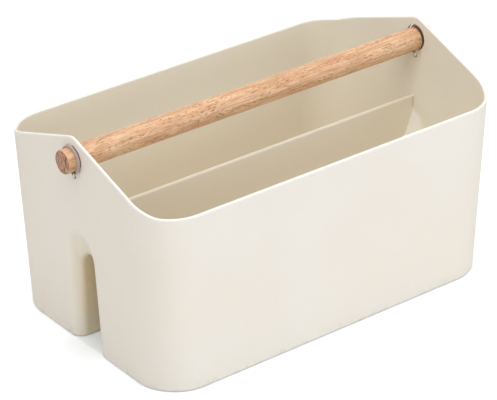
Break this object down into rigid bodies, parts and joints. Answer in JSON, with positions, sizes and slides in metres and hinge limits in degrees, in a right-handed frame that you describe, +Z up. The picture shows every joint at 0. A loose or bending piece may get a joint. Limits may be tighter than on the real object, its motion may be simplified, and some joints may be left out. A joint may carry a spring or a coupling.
{
  "type": "cleaning caddy",
  "caption": "Open moulded caddy with gabled ends, a central divider over an arched tunnel, and a round wooden carrying handle that turns in its end walls.",
  "frame": {"origin": "middle of the tub's base, on the surface that it stands on", "axes": "+X along the handle, to the right seen from the front long wall; +Y across the tub, from the front wall to the rear wall; +Z up"},
  "size_m": [0.4024, 0.2418, 0.2079],
  "materials": {
    "tub_plastic": "cream moulded polypropylene, satin with a very fine texture",
    "handle_wood": "turned beech, sanded and lightly oiled",
    "ring_rubber": "soft grey-brown rubber, matt",
    "pin_steel": "bright drawn steel with a rounded tip"
  },
  "bodies": {
    "tub": {"tub": "tub_plastic"},
    "handle": {"handle_dowel": "handle_wood", "ring_left": "ring_rubber", "ring_right": "ring_rubber", "pin_left_inner": "pin_steel", "pin_left_outer": "pin_steel", "pin_right_inner": "pin_steel", "pin_right_outer": "pin_steel"}
  },
  "joints": [
    {"name": "handle_spin", "type": "hinge", "parent": "tub", "child": "handle", "pos_m": [0, 0, 0.1872], "axis": [1, 0, 0], "continuous": true}
  ]
}
